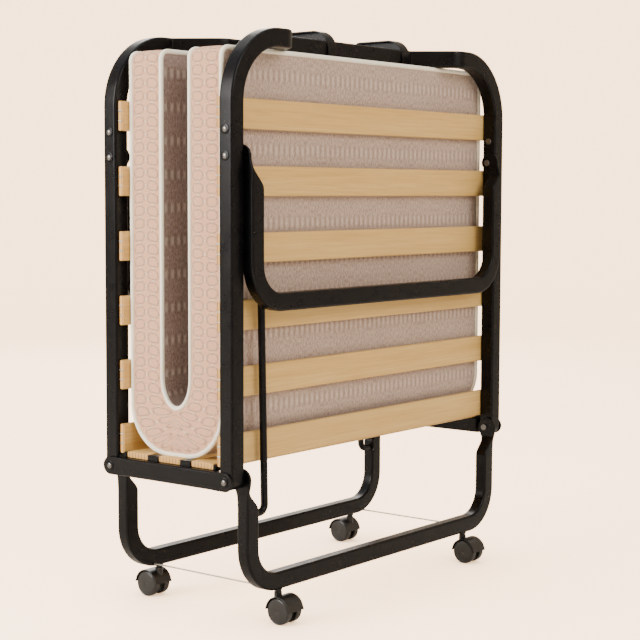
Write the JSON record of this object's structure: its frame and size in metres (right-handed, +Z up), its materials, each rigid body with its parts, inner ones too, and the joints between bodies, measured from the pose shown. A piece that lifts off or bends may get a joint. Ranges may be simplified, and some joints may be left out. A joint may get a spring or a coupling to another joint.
{
  "type": "folding cot",
  "caption": "Folding guest cot on casters, standing folded upright, with slatted leaves, link-driven end legs and a bent mattress between them.",
  "frame": {"origin": "on the floor, below the middle of the folded cot", "axes": "+Z up; X across the cot's width, +X to the right seen from the front leaf; +Y from the front leaf to the back leaf"},
  "size_m": [0.8832, 0.3758, 1.069],
  "materials": {
    "black_paint": "near-black powder coat, half glossy",
    "steel_wire": "plain drawn steel",
    "rivet": "domed heads, darkened steel, shiny on top",
    "wood": "pale bent laminate, satin lacquer",
    "ticking": "woven mattress ticking, matt, with white piping",
    "caster_plastic": "moulded, half matt",
    "wheel_plastic": "moulded, half matt, smooth tread"
  },
  "bodies": {
    "base": {"left_side_rail": "black_paint", "left_tie_wire": "steel_wire", "right_side_rail": "black_paint", "right_tie_wire": "steel_wire", "middle_slat_1": "wood", "middle_slat_2": "wood", "middle_slat_3": "wood", "mattress_fold": "ticking", "front_middle_leg": "black_paint", "front_left_hinge_rivet": "rivet", "front_right_hinge_rivet": "rivet", "back_middle_leg": "black_paint", "back_left_hinge_rivet": "rivet", "back_right_hinge_rivet": "rivet"},
    "front_leaf": {"front_leaf_frame": "black_paint", "front_slat_1": "wood", "front_slat_2": "wood", "front_slat_3": "wood", "front_slat_4": "wood", "front_slat_5": "wood", "front_slat_6": "wood", "front_mattress_half": "ticking", "front_left_leg_rivet": "rivet", "front_left_stop_rivet": "rivet", "front_right_leg_rivet": "rivet", "front_right_stop_rivet": "rivet", "left_retaining_hoop": "black_paint", "right_retaining_hoop": "black_paint"},
    "front_leg": {"front_end_leg": "black_paint"},
    "front_rod": {"front_link_rod": "black_paint"},
    "back_leaf": {"back_leaf_frame": "black_paint", "back_slat_1": "wood", "back_slat_2": "wood", "back_slat_3": "wood", "back_slat_4": "wood", "back_slat_5": "wood", "back_slat_6": "wood", "back_mattress_half": "ticking", "back_left_leg_rivet": "rivet", "back_left_stop_rivet": "rivet", "back_right_leg_rivet": "rivet", "back_right_stop_rivet": "rivet"},
    "back_leg": {"back_end_leg": "black_paint"},
    "back_rod": {"back_link_rod": "black_paint"},
    "front_left_caster_fork": {"front_left_caster_hood": "caster_plastic"},
    "front_left_caster_wheels": {"front_left_caster_axle": "steel_wire", "front_left_caster_outer_wheel": "wheel_plastic", "front_left_caster_inner_wheel": "wheel_plastic"},
    "front_right_caster_fork": {"front_right_caster_hood": "caster_plastic"},
    "front_right_caster_wheels": {"front_right_caster_axle": "steel_wire", "front_right_caster_outer_wheel": "wheel_plastic", "front_right_caster_inner_wheel": "wheel_plastic"},
    "back_left_caster_fork": {"back_left_caster_hood": "caster_plastic"},
    "back_left_caster_wheels": {"back_left_caster_axle": "steel_wire", "back_left_caster_outer_wheel": "wheel_plastic", "back_left_caster_inner_wheel": "wheel_plastic"},
    "back_right_caster_fork": {"back_right_caster_hood": "caster_plastic"},
    "back_right_caster_wheels": {"back_right_caster_axle": "steel_wire", "back_right_caster_outer_wheel": "wheel_plastic", "back_right_caster_inner_wheel": "wheel_plastic"}
  },
  "joints": [
    {"name": "front_leaf_fold", "type": "hinge", "parent": "base", "child": "front_leaf", "pos_m": [0, -0.138, 0.269], "axis": [1, 0, 0], "range_deg": [0, 90]},
    {"name": "front_leg_fold", "type": "hinge", "parent": "front_leaf", "child": "front_leg", "pos_m": [0, -0.138, 0.826], "axis": [-1, 0, 0], "range_deg": [0, 90]},
    {"name": "front_rod_swing", "type": "hinge", "parent": "base", "child": "front_rod", "pos_m": [0, -0.138, 0.203], "axis": [1, 0, 0], "range_deg": [0, 90]},
    {"name": "back_leaf_fold", "type": "hinge", "parent": "base", "child": "back_leaf", "pos_m": [0, 0.138, 0.269], "axis": [-1, 0, 0], "range_deg": [0, 90]},
    {"name": "back_leg_fold", "type": "hinge", "parent": "back_leaf", "child": "back_leg", "pos_m": [0, 0.138, 0.826], "axis": [1, 0, 0], "range_deg": [0, 90]},
    {"name": "back_rod_swing", "type": "hinge", "parent": "base", "child": "back_rod", "pos_m": [0, 0.138, 0.203], "axis": [-1, 0, 0], "range_deg": [0, 90]},
    {"name": "front_left_caster_swivel", "type": "hinge", "parent": "base", "child": "front_left_caster_fork", "pos_m": [-0.302, -0.146, 0.06], "axis": [0, 0, 1], "continuous": true},
    {"name": "front_left_caster_roll", "type": "hinge", "parent": "front_left_caster_fork", "child": "front_left_caster_wheels", "pos_m": [-0.302, -0.161, 0.024], "axis": [1, 0, 0], "continuous": true},
    {"name": "front_right_caster_swivel", "type": "hinge", "parent": "base", "child": "front_right_caster_fork", "pos_m": [0.302, -0.146, 0.06], "axis": [0, 0, 1], "continuous": true},
    {"name": "front_right_caster_roll", "type": "hinge", "parent": "front_right_caster_fork", "child": "front_right_caster_wheels", "pos_m": [0.302, -0.161, 0.024], "axis": [1, 0, 0], "continuous": true},
    {"name": "back_left_caster_swivel", "type": "hinge", "parent": "base", "child": "back_left_caster_fork", "pos_m": [-0.302, 0.146, 0.06], "axis": [0, 0, 1], "continuous": true},
    {"name": "back_left_caster_roll", "type": "hinge", "parent": "back_left_caster_fork", "child": "back_left_caster_wheels", "pos_m": [-0.302, 0.161, 0.024], "axis": [1, 0, 0], "continuous": true},
    {"name": "back_right_caster_swivel", "type": "hinge", "parent": "base", "child": "back_right_caster_fork", "pos_m": [0.302, 0.146, 0.06], "axis": [0, 0, 1], "continuous": true},
    {"name": "back_right_caster_roll", "type": "hinge", "parent": "back_right_caster_fork", "child": "back_right_caster_wheels", "pos_m": [0.302, 0.161, 0.024], "axis": [1, 0, 0], "continuous": true}
  ],
  "couplings": [
    {"joint": "front_leg_fold", "follows": "front_leaf_fold", "ratio": 1},
    {"joint": "front_rod_swing", "follows": "front_leaf_fold", "ratio": 1},
    {"joint": "back_leg_fold", "follows": "back_leaf_fold", "ratio": 1},
    {"joint": "back_rod_swing", "follows": "back_leaf_fold", "ratio": 1}
  ]
}
